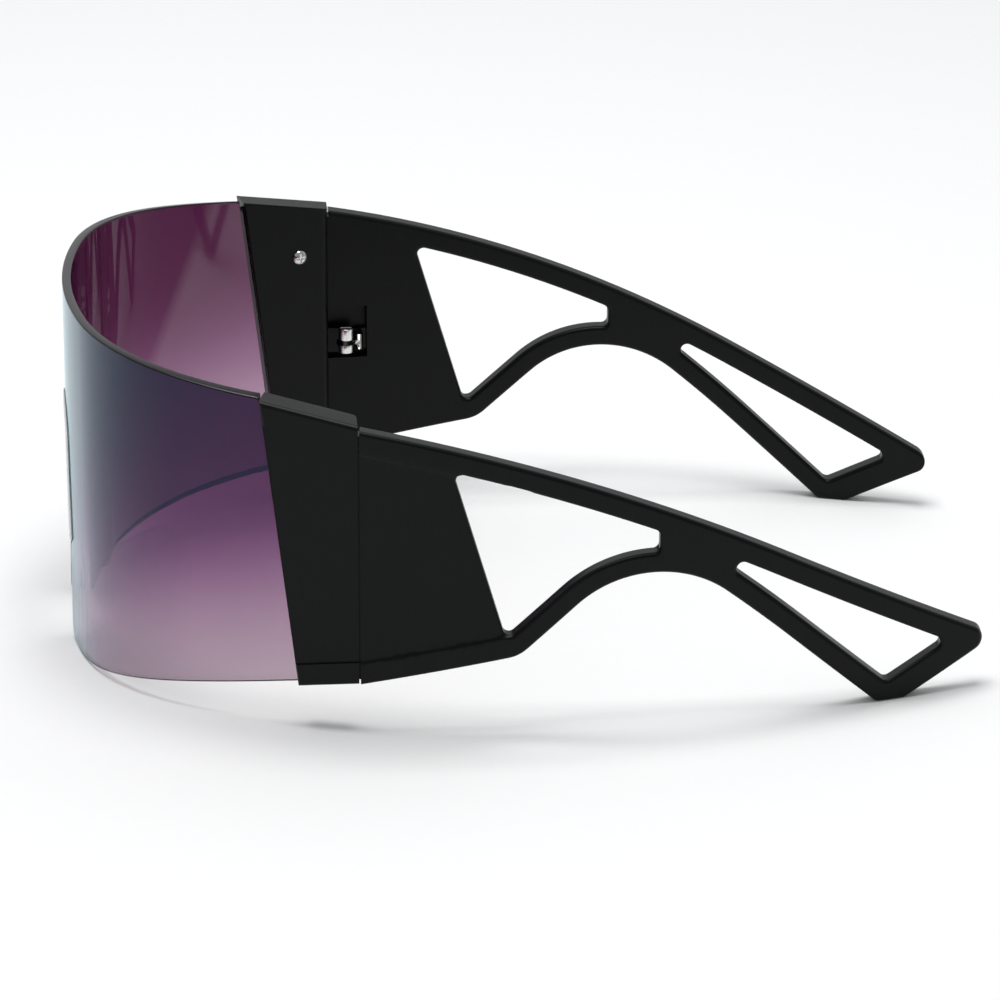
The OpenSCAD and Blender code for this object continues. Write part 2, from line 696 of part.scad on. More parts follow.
// Part of the temple's curved sheet, from depth d_0 to depth d_1 below its outer face
module curved_sheet(d_0, d_1) {
    translate([plan_centre[0], plan_centre[1], 0]) difference() {
        cylinder(r = temple_plan_radius - d_0, h = lens_h, $fn = 180);
        translate([0, 0, -over]) cylinder(r = temple_plan_radius - d_1, h = lens_h + 2 * over, $fn = 180);
    }
}

// The left temple: rails round a thinner plate, with the hinge pocket in its inner face
module temple() {
    difference() {
        intersection() {
            curved_sheet(0, temple_t);
            translate([0, seam_y, 0]) side_slab(0, 2 * seam_half_w) filleted() {
                rails_outline();
                between_rails(-lead_in, -lead_in, plate_top_y, plate_low_y);
            }
        }
        intersection() {
            curved_sheet(-over, panel_sink);
            translate([0, seam_y, 0]) side_slab(0, 2 * seam_half_w) plate_outline();
        }
        translate([0, seam_y + seam_gap / 2 - lens_h, -lens_h]) cube([2 * seam_half_w, lens_h, 3 * lens_h]);
        on_temple() translate([-2 * temple_t, -2 * seam_gap, pocket_low_z])
            cube([2 * temple_t + floor_x, 2 * seam_gap + pocket_len, pocket_h]);
        temple_leaf_plate(seat_play);
    }
}

module left_end_piece() {
    color(black_colour) placed() end_piece();
}

module right_end_piece() {
    color(black_colour) placed() other_side() end_piece();
}

module left_lens_screws() {
    color(steel_colour) placed() lens_screws();
}

module right_lens_screws() {
    color(steel_colour) placed() other_side() lens_screws();
}

module left_screw_inserts() {
    color(brass_colour) placed() screw_inserts();
}

module right_screw_inserts() {
    color(brass_colour) placed() other_side() screw_inserts();
}

module left_front_hinge_leaf() {
    color(steel_colour) placed() front_hinge_leaf();
}

module right_front_hinge_leaf() {
    color(steel_colour) placed() other_side() front_hinge_leaf();
}

module left_temple_hinge_leaf() {
    color(steel_colour) placed() temple_hinge_leaf();
}

module right_temple_hinge_leaf() {
    color(steel_colour) placed() other_side() temple_hinge_leaf();
}

module left_hinge_screw() {
    color(steel_colour) placed() hinge_screw();
}

module right_hinge_screw() {
    color(steel_colour) placed() other_side() hinge_screw();
}

module left_temple() {
    color(black_colour) placed() temple();
}

module right_temple() {
    color(black_colour) placed() other_side() temple();
}

lens();
nose_piece();
left_end_piece();
right_end_piece();
left_lens_screws();
right_lens_screws();
left_screw_inserts();
right_screw_inserts();
left_front_hinge_leaf();
right_front_hinge_leaf();
left_temple_hinge_leaf();
right_temple_hinge_leaf();
left_hinge_screw();
right_hinge_screw();
left_temple();
right_temple();
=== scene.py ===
import math

import bmesh
import bpy
from mathutils import Matrix, Vector
from mathutils.geometry import delaunay_2d_cdt, intersect_line_line_2d


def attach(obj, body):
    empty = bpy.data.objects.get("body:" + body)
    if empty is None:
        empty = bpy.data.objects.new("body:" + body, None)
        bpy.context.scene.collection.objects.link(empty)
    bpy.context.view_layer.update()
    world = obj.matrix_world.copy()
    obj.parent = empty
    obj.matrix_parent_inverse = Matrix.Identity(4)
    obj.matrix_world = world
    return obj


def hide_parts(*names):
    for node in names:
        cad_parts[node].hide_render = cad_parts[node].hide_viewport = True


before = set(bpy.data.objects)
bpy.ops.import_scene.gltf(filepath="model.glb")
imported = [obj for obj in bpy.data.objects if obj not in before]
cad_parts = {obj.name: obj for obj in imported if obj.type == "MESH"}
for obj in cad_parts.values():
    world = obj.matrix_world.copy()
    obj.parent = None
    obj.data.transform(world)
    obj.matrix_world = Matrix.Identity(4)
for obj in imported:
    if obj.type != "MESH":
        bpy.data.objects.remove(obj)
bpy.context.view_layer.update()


# ---- Camera ----
# Stands 1.7 m off on the wearer's left, a little above the table, with a very long lens, as the
# photograph was taken. Its angles and distance were fitted to matching points on both temples.
# Sizes are in millimetres here and in the pieces, and take the factor mm on their way to Blender.
mm = 0.001
view_azimuth = math.radians(86.159)
view_elevation = math.radians(21.506)
view_roll = math.radians(-0.003)
view_distance = 1683.12
view_target = Vector((0, 7.79, 30))
view_shift_right, view_shift_up = 10.213, 5.799
view_focal_px, picture_px = 7729.63, 1000
sensor_wide = 36
nearest_seen_m, farthest_seen_m = 0.1, 50

towards_camera = Vector((math.sin(view_azimuth) * math.cos(view_elevation),
                         -math.cos(view_azimuth) * math.cos(view_elevation),
                         math.sin(view_elevation)))
level_right = Vector((0, 0, 1)).cross(towards_camera).normalized()
level_up = towards_camera.cross(level_right)
picture_right = level_right * math.cos(view_roll) + level_up * math.sin(view_roll)
picture_up = level_up * math.cos(view_roll) - level_right * math.sin(view_roll)

scene = bpy.context.scene
camera_data = bpy.data.cameras.new("camera")
camera_data.sensor_width = sensor_wide
camera_data.lens = view_focal_px / picture_px * sensor_wide
camera_data.clip_start, camera_data.clip_end = nearest_seen_m, farthest_seen_m
camera = bpy.data.objects.new("camera", camera_data)
camera.location = (view_target + view_distance * towards_camera - view_shift_right * picture_right
                   - view_shift_up * picture_up) * mm
camera.rotation_mode = "QUATERNION"
camera.rotation_quaternion = Matrix((picture_right, picture_up, towards_camera)).transposed().to_quaternion()
scene.collection.objects.link(camera)
scene.camera = camera


# ---- Table and light ----
# A pale seamless sheet that curves up behind the sunglasses, in a light tent: even white light
# from all round, and one large soft lamp overhead that draws the sheen on the upward edges.
# Only this section's sizes are in metres.
sheet_half_width, sheet_front, sheet_back, sheet_bend_radius = 6.0, 4.0, -7.0, 1.2
sheet_grey, sheet_mottle, sheet_rough, sheet_gloss = 0.90, 0.02, 0.9, 0.1
fibre_scale, fibre_detail = 400, 4
tent_white = (0.97, 0.985, 1.0)
tent_behind, tent_in_front = 0.88, 0.30
tent_fall_from, tent_fall_to = -1, 0.5
lamp_place, lamp_size, lamp_power = (0.0, -0.1, 1.1), 0.6, 9.0


def node_adder(tree):
    """A function that adds a node to a tree, makes its settings and then fills its sockets."""
    def add(kind, sockets=None, **settings):
        node = tree.nodes.new(kind)
        for setting, value in settings.items():
            setattr(node, setting, value)
        for socket, value in (sockets or {}).items():
            node.inputs[socket].default_value = value
        return node

    return add


def new_finish(name, even):
    """A material whose Principled BSDF has the values of even all over: the material, a function
    that adds a node, a function that links two sockets, and the shader."""
    material = bpy.data.materials.new(name)
    material.use_nodes = True
    tree = material.node_tree
    tree.nodes.clear()
    add = node_adder(tree)
    shader = add("ShaderNodeBsdfPrincipled", even)
    tree.links.new(shader.outputs[0], add("ShaderNodeOutputMaterial").inputs[0])
    return material, add, tree.links.new, shader


def new_piece(name, verts, faces, *finishes):
    """A smoothly shaded mesh object from corner points in metres."""
    mesh = bpy.data.meshes.new(name)
    mesh.from_pydata(verts, [], faces)
    mesh.validate()
    for finish in finishes:
        mesh.materials.append(finish)
    mesh.polygons.foreach_set("use_smooth", [True] * len(mesh.polygons))
    piece = bpy.data.objects.new(name, mesh)
    scene.collection.objects.link(piece)
    return piece


def blend_colours(add, link, factor, first, second):
    """A colour that runs from the first to the second with a factor that changes over the surface."""
    mix = add("ShaderNodeMix", {"A": (*first, 1), "B": (*second, 1)}, data_type="RGBA")
    link(factor, mix.inputs["Factor"])
    return mix.outputs["Result"]


sheet_finish, add, link, shader = new_finish(
    "table_sheet", {"Roughness": sheet_rough, "Specular IOR Level": sheet_gloss})
place = add("ShaderNodeTexCoord")
fibres = add("ShaderNodeTexNoise", {"Scale": fibre_scale, "Detail": fibre_detail})
link(place.outputs["Object"], fibres.inputs["Vector"])
link(blend_colours(add, link, fibres.outputs["Fac"], (sheet_grey,) * 3, (sheet_grey + sheet_mottle,) * 3),
     shader.inputs["Base Color"])

profile = [(sheet_front, 0.0)]
profile += [(sheet_back - sheet_bend_radius * math.sin(math.radians(a)),
             sheet_bend_radius * (1 - math.cos(math.radians(a)))) for a in range(0, 91, 6)]
count = len(profile)
sheet = new_piece("table_sheet", [(across, side, up) for side in (-sheet_half_width, sheet_half_width)
                                  for across, up in profile],
                  [(i, i + 1, count + i + 1, count + i) for i in range(count - 1)], sheet_finish)

world = bpy.data.worlds.new("light_tent")
world.use_nodes = True
add, link = node_adder(world.node_tree), world.node_tree.links.new
backdrop = world.node_tree.nodes["Background"]
backdrop.inputs["Color"].default_value = (*tent_white, 1)
way = add("ShaderNodeTexCoord")
parts = add("ShaderNodeSeparateXYZ")
fall = add("ShaderNodeMapRange", {"From Min": tent_fall_from, "From Max": tent_fall_to, "To Min": tent_behind,
                                  "To Max": tent_in_front}, interpolation_type="SMOOTHERSTEP")
link(way.outputs["Generated"], parts.inputs[0])
link(parts.outputs["X"], fall.inputs["Value"])
link(fall.outputs[0], backdrop.inputs["Strength"])
scene.world = world

lamp_data = bpy.data.lights.new("overhead_lamp", "AREA")
lamp_data.size = lamp_size
lamp_data.energy = lamp_power
lamp = bpy.data.objects.new("overhead_lamp", lamp_data)
lamp.location = lamp_place
lamp.rotation_euler = Vector(lamp_place).to_track_quat("Z", "Y").to_euler()
scene.collection.objects.link(lamp)
scene.view_settings.view_transform = "Standard"


# ---- Lens ----
# One sheet of 2 mm polycarbonate, bent round the face, dyed plum at the top and fading to pale
# mauve at its lower edge, with a cool mirror haze outside. A tab at each end sits in a slot.
lens_thick, lens_high = 2.0, 77.5
lens_arcs = [(111.0, 13.4, 8), (46.727, 42.4, 34), (70.0, 18.5, 14)]  # radius, degrees, steps
lens_lean = math.radians(1.5)
lens_front_y = -95.71
chin_forward, toe_forward, toe_high = 1.6, 0.45, 18
chin_from, chin_to = 5.0, 40.0
seam_half_width, seam_from_front = 71.2, 59.1
wall_angle = math.radians(15.7)
top_drop, top_end_x, top_power = 6.0, 65.41, 4
low_rise, low_level_x, low_end_x, low_power = 9.7, 20.0, 64.27, 1.9
nose_top_z, nose_top_r, nose_half_width, nose_corner_r = 48.5, 6.5, 12.0, 4.0
leg_tilt = math.atan((nose_half_width - nose_top_r) / (nose_top_z - nose_top_r))
rim_round, rim_row = 0.3, 0.25
mouth_top, mouth_low, mouth_sharp = -21.2, -13.5, 0.06
tab_stop, tab_steps = -10.0, 9
tab_top_z, tab_top_slope = 67.4, 4 / 21.4
tab_low_z, tab_low_slope = 12.8, 1.6 / 13.5
lens_rows, least_column = 26, 0.12
ground_beyond, dark_corner = 1, 0.9
outer_face, rim_face, inner_face, ground_face = range(4)

# Columns of faces across the nose cut-out: round its top, down a leg, round the foot and beyond
nose_columns = ([0.01] + [nose_top_r * math.sin(math.radians(a)) for a in range(9, 82, 9)]
                + [6.46 + 5.1 * k / 14 for k in range(15)] + [11.75, 12.1, 12.6, 13.2, 14.0, 15.0, 16.2]
                + [17.6 + 1.6 * k for k in range(5)])


def lens_top(x):
    return lens_high - top_drop * (abs(x) / top_end_x) ** top_power


def lens_low(x):
    """Height of the lower edge at x: the arch of the nose cut-out, its legs, their rounded feet and
    the rising edge."""
    x = abs(x)
    side_x = nose_top_r * math.cos(leg_tilt)
    side_z = nose_top_z - nose_top_r * (1 - math.sin(leg_tilt))
    foot_x = side_x + side_z * math.tan(leg_tilt)
    corner_x = foot_x + nose_corner_r * (1 - math.sin(leg_tilt)) / math.cos(leg_tilt)
    if x < side_x:
        return nose_top_z - nose_top_r + math.sqrt(nose_top_r ** 2 - x ** 2)
    if x < corner_x - nose_corner_r * math.cos(leg_tilt):
        return side_z - (x - side_x) / math.tan(leg_tilt)
    if x < corner_x:
        return nose_corner_r - math.sqrt(nose_corner_r ** 2 - (x - corner_x) ** 2)
    return low_rise * (max(0, x - low_level_x) / (low_end_x - low_level_x)) ** low_power


def along_wall(x, y):
    """How far a plan place lies behind the seam, measured along the end piece."""
    return (x - seam_half_width) * math.sin(wall_angle) + (y - seam_from_front) * math.cos(wall_angle)


def lens_plan():
    """Places along the outer face from the middle to the tab's end, each x, y and heading."""
    radius = lens_arcs[0][0]
    steps = [(x, radius - math.sqrt(radius ** 2 - x ** 2), math.asin(x / radius)) for x in nose_columns]
    x, y, heading = 0.0, 0.0, 0.0
    for radius, turn, count in lens_arcs:
        turn = math.radians(turn)
        for k in range(1, count + 1):
            h = heading + turn * k / count
            steps.append((x + radius * (math.sin(h) - math.sin(heading)),
                          y + radius * (math.cos(heading) - math.cos(h)), h))
        x, y, heading = steps[-1]
    steps = sorted((s for s in steps if s[2] > 0), key=lambda s: s[1])
    spaced = [steps[0]]
    for s in steps[1:]:
        if math.dist(s[:2], spaced[-1][:2]) > least_column:
            spaced.append(s)
    run = tab_stop - along_wall(x, y)
    for mouth in (mouth_top, mouth_low):
        for stop in (mouth - mouth_sharp, mouth + mouth_sharp):
            for k in range(1, len(spaced)):
                a, b = spaced[k - 1], spaced[k]
                before, after = along_wall(*a[:2]), along_wall(*b[:2])
                if before < stop < after:
                    t = (stop - before) / (after - before)
                    spaced.insert(k, tuple(p + (q - p) * t for p, q in zip(a, b)))
                    break
    for k in range(1, tab_steps + 1):
        ahead = run * k / tab_steps
        spaced.append((x + ahead * math.sin(wall_angle), y + ahead * math.cos(wall_angle), heading))
    return spaced


def lens_section():
    """Places round a cut through the sheet: depth below the outer face, share of the height, offset
    in height, and 1 on a rim."""
    bow = [math.radians(a) for a in (0, 30, 60, 90)]
    outer = [(0, k / lens_rows, 0, 0) for k in range(lens_rows + 1)]
    outer[0:1] = [(0, 0, rim_round, 0), (0, 0, rim_round + rim_row, 0)]
    outer[-1:] = [(0, 1, -rim_round - rim_row, 0), (0, 1, -rim_round, 0)]
    top = [(rim_round * (1 - math.cos(a)), 1, -rim_round * (1 - math.sin(a)), 1) for a in bow[1:]]
    top += [(lens_thick - d, s, o, 1) for d, s, o, _ in reversed(top)]
    inner = [(lens_thick, s, o, 0) for _, s, o, _ in reversed(outer)]
    low = [(lens_thick - rim_round * (1 - math.cos(a)), 0, rim_round * (1 - math.sin(a)), 1) for a in bow[1:]]
    low += [(lens_thick - d, s, o, 1) for d, s, o, _ in reversed(low)]
    return outer + top + inner + low


def leaned(x, y, z):
    """A place of the upright plan, leaned back as the lens stands. The chin is fuller in front than
    at the sides."""
    side = max(0.0, min(1.0, (y - chin_from) / (chin_to - chin_from)))
    fuller = chin_forward * (1 - z / lens_high) + toe_forward * max(0, 1 - z / toe_high)
    chin = (1 - side * side * (3 - 2 * side)) * fuller
    return (x, y / math.cos(lens_lean) - math.tan(lens_lean) * (z - lens_high / 2) + lens_front_y - chin, z)


def lens_point(x, y, heading, depth, share, offset):
    """A place of the sheet from a plan place and a place of the section. The tab is narrower."""
    px = x - depth * math.sin(heading)
    py = y + depth * math.cos(heading)
    low, top = lens_low(px), lens_top(px)
    back = along_wall(abs(px), py)
    if back > mouth_top:
        top = min(top, tab_top_z - back * tab_top_slope)
    if back > mouth_low:
        low = max(low, tab_low_z + back * tab_low_slope)
    return leaned(px, py, low + (top - low) * share + offset)


def face_kind(x, here, following):
    """The finish between two places of the section: ground at the nose, and a near black colour as
    painted shade on the other rims, where a polished edge goes dark by bending the light away. The
    lower rim is dark at its outer corner only."""
    low = here[1] < 0.5
    if here[3] or following[3]:
        if low and abs(x) < nose_half_width + ground_beyond:
            return ground_face
        return inner_face if low and here[0] + following[0] > lens_thick * dark_corner else rim_face
    return inner_face if here[0] > lens_thick / 2 else outer_face


def lens_mesh():
    """Corners in metres, faces and each face's kind."""
    half = lens_plan()
    section = lens_section()
    columns = [(-x, y, -h) for x, y, h in reversed(half)] + half
    verts = [tuple(c * mm for c in lens_point(x, y, h, d, s, o))
             for x, y, h in columns for d, s, o, _ in section]
    n = len(section)
    faces, kinds = [], []
    for c in range(len(columns) - 1):
        for k in range(n):
            j = (k + 1) % n
            faces.append((c * n + k, (c + 1) * n + k, (c + 1) * n + j, c * n + j))
            kinds.append(face_kind(columns[c][0], section[k], section[j]))
    last = (len(columns) - 1) * n
    faces += [tuple(range(n)), tuple(reversed(range(last, last + n)))]
    return verts, faces, kinds + [rim_face] * 2


def spread(add, link, value, low, high):
    """Maps 0 to 1 onto low to high."""
    node = add("ShaderNodeMapRange", {"To Min": low, "To Max": high})
    link(value, node.inputs["Value"])
    return node.outputs[0]


def along(add, link, direction, low, high):
    """0 to 1 between two distances along a direction, on the piece itself."""
    place = add("ShaderNodeTexCoord")
    reach = add("ShaderNodeVectorMath", {1: direction}, operation="DOT_PRODUCT")
    share = add("ShaderNodeMapRange", {"From Min": low, "From Max": high})
    link(place.outputs["Object"], reach.inputs[0])
    link(reach.outputs["Value"], share.inputs["Value"])
    return share.outputs[0]


def new_group(name, takes, gives):
    """An empty node group that takes numbers, and gives numbers or colours as gives says: the group,
    its functions to add and to link, its way in and its way out."""
    group = bpy.data.node_groups.new(name, "ShaderNodeTree")
    for socket in takes:
        group.interface.new_socket(socket, in_out="INPUT", socket_type="NodeSocketFloat")
    for socket, kind in gives.items():
        group.interface.new_socket(socket, in_out="OUTPUT", socket_type=kind)
    add = node_adder(group)
    return group, add, group.links.new, add("NodeGroupInput"), add("NodeGroupOutput")


# Faint finger marks: soft patches and, inside them, fine streaks, wiped up and down
wiped_down = (1, 1, 0.15)
handling_marks, add, link, inside, outside = new_group(
    "handling_marks", ("Patch Scale", "Streak Scale"), {"Mask": "NodeSocketFloat"})
place = add("ShaderNodeTexCoord")
stretch = add("ShaderNodeMapping", {"Scale": wiped_down})
patches = add("ShaderNodeTexNoise")
streaks = add("ShaderNodeTexNoise")
both = add("ShaderNodeMath", operation="MULTIPLY")
link(place.outputs["Object"], patches.inputs["Vector"])
link(place.outputs["Object"], stretch.inputs["Vector"])
link(stretch.outputs[0], streaks.inputs["Vector"])
link(inside.outputs["Patch Scale"], patches.inputs["Scale"])
link(inside.outputs["Streak Scale"], streaks.inputs["Scale"])
link(patches.outputs["Fac"], both.inputs[0])
link(streaks.outputs["Fac"], both.inputs[1])
link(both.outputs[0], outside.inputs["Mask"])


def marks(add, scales):
    """Finger marks in a material, by the scales of their patches and of their streaks."""
    node = add("ShaderNodeGroup", node_tree=handling_marks)
    node.inputs["Patch Scale"].default_value, node.inputs["Streak Scale"].default_value = scales
    return node.outputs["Mask"]


def handle(add, link, shader, scales, clean, marked, roughness, sheen_scales=None):
    """Finger marks that turn a finish from its clean to its marked colour and along its roughness."""
    mask = marks(add, scales)
    sheen = marks(add, sheen_scales) if sheen_scales else mask
    link(blend_colours(add, link, mask, clean, marked), shader.inputs["Base Color"])
    link(spread(add, link, sheen, *roughness), shader.inputs["Roughness"])


# The share of the light that the dye lets through, by height over the table. The levels of the dye
# sink a little towards the front, and the dye is deeper where the light crosses it at a slant.
dye_stops = [(0, (0.465, 0.37, 0.415)), (8, (0.445, 0.34, 0.395)), (14, (0.415, 0.295, 0.365)),
             (20, (0.375, 0.245, 0.325)), (26, (0.32, 0.185, 0.28)), (32, (0.25, 0.12, 0.215)),
             (38, (0.185, 0.072, 0.155)), (44, (0.135, 0.042, 0.105)), (50, (0.105, 0.027, 0.077)),
             (58, (0.085, 0.018, 0.058)), (77.5, (0.072, 0.013, 0.049))]
dye_slope, dye_level_y = 0.2, -70.0
longest_path = 1.34
shadow_depth = 0.65
lens_ior, lens_marks, lens_roughness = 1.5, (60, 900), (0.0, 0.01)
coating_tint, inner_coating_tint = (0.46, 0.50, 1.0), (0.08, 0.08, 0.08)
haze_weight, haze_rough, haze_tint = 0.19, 0.46, (0.05, 0.85, 1.0)
# Painted reflection: the inner face's clear coat, and the reflection it gives, is set by place. There is none
# over a wedge at the front middle that widens upwards, and full coat beyond it
reflection_patch_slope, reflection_patch_from, reflection_patch_to, reflection_patch_rough = 0.41, -94.5, -91.5, 0.07
edge_marks, edge_sheen = (300, 3000), (400, 5000)
# Painted shade: the polished rim is near black, standing in for the darkness that a polished edge shows by
# bending the light away, with faint finger marks on it
rim_shade_clean, rim_shade_marked = (0.008, 0.006, 0.009), (0.020, 0.016, 0.022)
rim_roughness, rim_gloss = (0.12, 0.32), 0.3
ground_clean, ground_marked, ground_roughness = (0.42, 0.38, 0.42), (0.55, 0.52, 0.56), (0.35, 0.6)

dye_by_height, add, link, inside, outside = new_group("dye_by_height", ("Path Length",), {
    "Straight Colour": "NodeSocketColor", "Slanted Colour": "NodeSocketColor"})
ramp = add("ShaderNodeValToRGB")
ramp.color_ramp.interpolation = "B_SPLINE"
for z, colour in dye_stops[2:]:
    ramp.color_ramp.elements.new(z / lens_high)
for stop, (z, colour) in zip(ramp.color_ramp.elements, dye_stops):
    stop.position, stop.color = z / lens_high, (*colour, 1)
deepen = add("ShaderNodeGamma")
dye_low = -dye_slope * dye_level_y * mm
link(along(add, link, (0, -dye_slope, 1), dye_low, dye_low + lens_high * mm), ramp.inputs[0])
link(ramp.outputs[0], deepen.inputs["Color"])
link(inside.outputs["Path Length"], deepen.inputs["Gamma"])
link(ramp.outputs[0], outside.inputs["Straight Colour"])
link(deepen.outputs[0], outside.inputs["Slanted Colour"])


def dyed_sheet(name, shine_tint, coating):
    """One face of the dyed sheet, with faint finger marks and its own coating. Its shadow is grey
    and paler than the sheet."""
    finish, add, link, shader = new_finish(
        name, {"IOR": lens_ior, "Transmission Weight": 1, "Specular Tint": (*shine_tint, 1), **coating})
    slant = add("ShaderNodeLayerWeight", {"Blend": 0.5})
    dye = add("ShaderNodeGroup", node_tree=dye_by_height)
    link(spread(add, link, slant.outputs["Facing"], 1, longest_path), dye.inputs["Path Length"])
    link(dye.outputs["Slanted Colour"], shader.inputs["Base Color"])
    link(spread(add, link, marks(add, lens_marks), *lens_roughness), shader.inputs["Roughness"])
    surface = shader.outputs[0].links[0].to_socket
    grey = add("ShaderNodeRGBToBW")
    paler = add("ShaderNodeMath", {1: shadow_depth}, operation="POWER")
    clear_way = add("ShaderNodeBsdfTransparent")
    rays = add("ShaderNodeLightPath")
    choice = add("ShaderNodeMixShader")
    link(dye.outputs["Straight Colour"], grey.inputs[0])
    link(grey.outputs[0], paler.inputs[0])
    link(paler.outputs[0], clear_way.inputs["Color"])
    link(rays.outputs["Is Shadow Ray"], choice.inputs[0])
    link(shader.outputs[0], choice.inputs[1])
    link(clear_way.outputs[0], choice.inputs[2])
    link(choice.outputs[0], surface)
    return finish, add, link, shader


outer_finish = dyed_sheet("dyed_lens_outer", coating_tint, {
    "Sheen Weight": haze_weight, "Sheen Roughness": haze_rough, "Sheen Tint": (*haze_tint, 1)})[0]
inner_finish, add, link, shader = dyed_sheet("dyed_lens_inner", inner_coating_tint,
                                             {"Coat Roughness": reflection_patch_rough})
# Painted reflection: the coat's weight follows a slanted line on the piece, which sets where the inner face
# reflects
link(along(add, link, (0, 1, -reflection_patch_slope), reflection_patch_from * mm, reflection_patch_to * mm), shader.inputs["Coat Weight"])

rim_shade_finish, add, link, shader = new_finish("shaded_polished_rim", {"Specular IOR Level": rim_gloss})
handle(add, link, shader, edge_marks, rim_shade_clean, rim_shade_marked, rim_roughness, edge_sheen)
ground_finish, add, link, shader = new_finish("ground_edge", {})
handle(add, link, shader, edge_marks, ground_clean, ground_marked, ground_roughness, edge_sheen)

verts, faces, kinds = lens_mesh()
lens = new_piece("tinted_shield", verts, faces, outer_finish, rim_shade_finish, inner_finish, ground_finish)
lens.data.polygons.foreach_set("material_index", kinds)
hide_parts("lens")
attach(lens, "front")


# ---- Nose piece ----
# One pale, soft silicone moulding that grips the edge of the nose cut-out: a slim lip in front, a
# broader lip behind, and two rounded pads that stand on the rear lip and splay towards the nose.
nose_foot_z, lip_foot_z, lip_fade = 14.75, 20.3, 1.5
leg_heights = [nose_foot_z + 0.9 * k for k in range(12)] + [26 + 3 * k for k in range(6)]
arch_steps = 12
# Places round a cut through the lips: over the lens from its cut edge, and below its outer face
front_lip = [(0.02, -0.03), (3.3, -0.03), (3.5, -0.18), (3.2, -0.36), (0.0, -0.40), (-0.8, -0.30)]
web_and_rear = [(-1.15, 0.2), (-1.18, 1.0), (-1.15, 1.8), (-0.85, 2.5), (0.0, 2.78), (3.2, 2.82),
                (3.5, 2.6), (3.4, 2.1), (0.02, 2.04), (-0.03, 1.98), (-0.03, 0.02)]
lip_play = (0.02, -0.04)
pad_high, pad_reach, pad_thick = 18.6, 7.6, 1.3
pad_raise, pad_inset, pad_sink = 0.2, 0.6, 0.5
pad_splay = math.radians(25)
pad_around, pad_rings, pad_square, pad_crown = 40, 8, 0.8, 0.6
silicone_ior, silicone_marks, silicone_roughness = 1.25, (200, 1500), (0.10, 0.25)
silicone_clean, silicone_marked = (0.93, 0.95, 0.95), (1.0, 1.0, 1.0)
clear, rubbed = 0.85, 0.35


def saddle_point(x, z, normal, over, depth):
    """A place of the saddle: over the lens from the edge of the cut-out, and behind its outer face."""
    radius = lens_arcs[0][0]
    px, pz = x + over * normal[0], z + over * normal[1]
    heading = math.asin(px / radius)
    return leaned(px - depth * math.sin(heading),
                  radius - math.sqrt(radius ** 2 - px ** 2) + depth * math.cos(heading), pz)


def cut_edge():
    """The edge of the cut-out from one foot over the arch to the other: x, z and the way over the lens."""
    side_x = nose_top_r * math.cos(leg_tilt)
    side_z = nose_top_z - nose_top_r * (1 - math.sin(leg_tilt))
    way = (math.cos(leg_tilt), math.sin(leg_tilt))
    steps = [(side_x + (side_z - z) * math.tan(leg_tilt), z, way) for z in leg_heights]
    for k in range(arch_steps + 1):
        a = leg_tilt + (math.pi / 2 - leg_tilt) * k / arch_steps
        steps.append((nose_top_r * math.cos(a), nose_top_z - nose_top_r + nose_top_r * math.sin(a),
                      (math.cos(a), math.sin(a))))
    return steps + [(-x, z, (-n[0], n[1])) for x, z, n in reversed(steps[:-1])]


def add_pad(verts, faces, side):
    """One cushion-shaped pad, its near edge buried in the rear lip."""
    middle_z = nose_foot_z + pad_high / 2 + pad_raise
    x = nose_half_width - pad_inset - middle_z * math.tan(leg_tilt)
    root = Vector(saddle_point(x, middle_z, (1, 0), 0, lens_thick + pad_sink))
    turn = Matrix.Rotation(-leg_tilt, 3, "Y") @ Matrix.Rotation(-pad_splay, 3, "Z")
    first, around, rings = len(verts), pad_around, pad_rings
    for face in (1, -1):
        for r in range(rings):
            lift = math.pi / 2 * (r + 1) / rings
            for k in range(around):
                a = 2 * math.pi * k / around
                u = math.copysign(abs(math.cos(a)) ** pad_square, math.cos(a)) * math.sin(lift)
                v = math.copysign(abs(math.sin(a)) ** pad_square, math.sin(a)) * math.sin(lift)
                bulge = pad_thick / 2 * math.cos(lift) ** pad_crown if r < rings - 1 else 0
                p = root + turn @ Vector((face * bulge, pad_reach / 2 * (1 + u), pad_high / 2 * v))
                verts.append((side * p.x * mm, p.y * mm, p.z * mm))
        centre = root + turn @ Vector((face * pad_thick / 2, pad_reach / 2, 0))
        verts.append((side * centre.x * mm, centre.y * mm, centre.z * mm))
    half = rings * around + 1
    for h, face in enumerate((1, -1)):
        base = first + h * half
        for k in range(around):
            j = (k + 1) % around
            quads = [(base + half - 1, base + k, base + j)]
            for r in range(rings - 1):
                # Both faces of the pad share the last ring
                start = (first if r == rings - 2 else base) + (r + 1) * around
                quads.append((base + r * around + k, start + k, start + j, base + r * around + j))
            faces.extend(q if face * side > 0 else tuple(reversed(q)) for q in quads)


